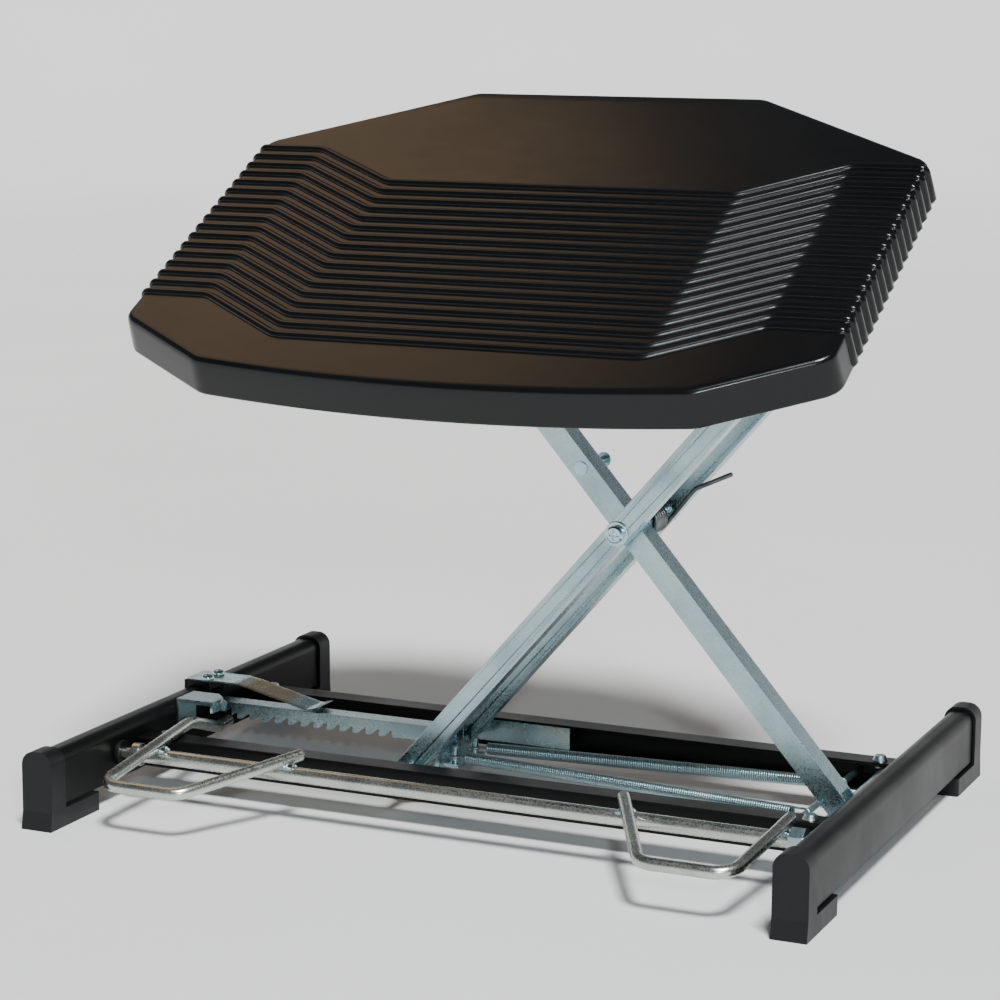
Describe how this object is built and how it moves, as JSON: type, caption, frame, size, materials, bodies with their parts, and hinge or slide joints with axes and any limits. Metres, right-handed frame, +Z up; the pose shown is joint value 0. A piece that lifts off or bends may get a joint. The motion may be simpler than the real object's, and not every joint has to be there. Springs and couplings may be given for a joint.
{
  "type": "tilting under desk footrest",
  "caption": "Under desk footrest with a ribbed black tilting tray on a zinc plated scissor frame, set in height by a toothed rack that a wire foot pedal frees.",
  "frame": {"origin": "on the floor, midway between the two rails and midway from front to back of the base", "axes": "+X along the tray's long side to the user's right, +Y from the front edge to the back edge, +Z up"},
  "size_m": [0.522, 0.384, 0.4569],
  "materials": {
    "black_steel": "satin",
    "cap_plastic": "matte",
    "black_plastic": "satin",
    "zinc_steel": "satin",
    "bright_steel": "polished",
    "spring_steel": "satin",
    "dark_spring": "satin",
    "leaf_steel": "satin"
  },
  "bodies": {
    "base": {"left_rail": "black_steel", "right_rail": "black_steel", "cap_front_left": "cap_plastic", "cap_front_right": "cap_plastic", "cap_back_left": "cap_plastic", "cap_back_right": "cap_plastic", "front_beam": "black_steel", "rear_beam": "black_steel", "beam_lugs": "black_steel", "beam_rivets": "bright_steel", "hinge_axle": "zinc_steel", "hinge_spacers": "zinc_steel", "leaf_saddle": "black_steel", "leaf_base": "leaf_steel", "leaf_screws": "bright_steel", "rod_bushes": "cap_plastic", "guide_bracket": "zinc_steel", "guide_bolt": "bright_steel", "spring_bar": "zinc_steel"},
    "leg_b_body": {"leg_b": "zinc_steel", "leg_b_barrel": "zinc_steel", "leg_b_rivet": "bright_steel"},
    "leg_a_body": {"leg_a_front": "zinc_steel", "leg_a_rear": "zinc_steel", "cross_bolt": "bright_steel", "cross_nut": "bright_steel", "cross_washers": "bright_steel", "cross_sleeve": "zinc_steel", "torsion_spring": "dark_spring"},
    "slider": {"foot_axle": "zinc_steel", "foot_shoes": "zinc_steel", "foot_sleeve": "zinc_steel", "spring_yoke": "zinc_steel"},
    "rack": {"ratchet_rack": "zinc_steel"},
    "carrier": {"upper_beam_front": "zinc_steel", "upper_beam_rear": "zinc_steel", "upper_axle_fixed": "zinc_steel", "tilt_tie_left": "zinc_steel", "tilt_tie_right": "zinc_steel"},
    "upper_slide": {"upper_axle_sliding": "zinc_steel", "upper_shoes": "zinc_steel", "upper_sleeves": "zinc_steel"},
    "platform": {"tray": "black_plastic", "tray_hanger": "zinc_steel", "tray_screws": "bright_steel", "tilt_shaft": "zinc_steel", "tilt_nuts": "bright_steel"},
    "pedal_bar": {"pedal_rod": "zinc_steel", "left_pedal": "zinc_steel", "right_pedal": "zinc_steel", "rod_collar": "zinc_steel", "rod_nut": "bright_steel"},
    "leaf": {"leaf_blade": "leaf_steel"},
    "spring_ends": {"assist_spring_front": "spring_steel", "assist_spring_rear": "spring_steel"}
  },
  "joints": [
    {"name": "height", "type": "hinge", "parent": "base", "child": "leg_b_body", "pos_m": [0.23, 0, 0.0265], "axis": [0, -1, 0], "range_deg": [0, 15.69], "deforming": ["torsion_spring"]},
    {"name": "crossing", "type": "hinge", "parent": "leg_b_body", "child": "leg_a_body", "pos_m": [0.0845, 0, 0.1945], "axis": [0, 1, 0], "range_deg": [0, 31.37]},
    {"name": "foot_turn", "type": "hinge", "parent": "leg_a_body", "child": "slider", "pos_m": [-0.061, 0, 0.0265], "axis": [0, -1, 0], "range_deg": [0, 15.69]},
    {"name": "rack_lift", "type": "hinge", "parent": "slider", "child": "rack", "pos_m": [-0.061, 0, 0.0265], "axis": [0, 1, 0], "range_deg": [0, 1.9]},
    {"name": "carrier_turn", "type": "hinge", "parent": "leg_a_body", "child": "carrier", "pos_m": [0.19319, 0, 0.32], "axis": [0, -1, 0], "range_deg": [0, 15.69]},
    {"name": "upper_shoe_turn", "type": "hinge", "parent": "leg_b_body", "child": "upper_slide", "pos_m": [-0.02419, 0, 0.32], "axis": [0, 1, 0], "range_deg": [0, 15.69]},
    {"name": "tilt", "type": "hinge", "parent": "carrier", "child": "platform", "pos_m": [0.002, 0.0196, 0.347], "axis": [1, 0, 0], "range_deg": [-28, 2]},
    {"name": "pedal", "type": "hinge", "parent": "base", "child": "pedal_bar", "pos_m": [0, -0.105, 0.0315], "axis": [1, 0, 0], "range_deg": [0, 1.5], "stiffness_Nm_per_rad": 20, "springref_deg": -57.3},
    {"name": "leaf_flex", "type": "hinge", "parent": "base", "child": "leaf", "pos_m": [-0.222, 0.025, 0.053], "axis": [0, -1, 0], "range_deg": [0, 3.3]},
    {"name": "spring_stretch", "type": "slide", "parent": "base", "child": "spring_ends", "axis": [-1, 0, 0], "range_m": [0, 0.0801], "deforming": ["assist_spring_front", "assist_spring_rear"]}
  ],
  "couplings": [
    {"joint": "crossing", "follows": "height", "ratio": 2},
    {"joint": "foot_turn", "follows": "height", "ratio": 1},
    {"joint": "carrier_turn", "follows": "height", "ratio": 1},
    {"joint": "upper_shoe_turn", "follows": "height", "ratio": 1},
    {"joint": "spring_stretch", "follows": "height", "m_per_rad": 0.29223},
    {"joint": "rack_lift", "follows": "pedal", "ratio": 1.26},
    {"joint": "leaf_flex", "follows": "pedal", "ratio": 2.15}
  ]
}
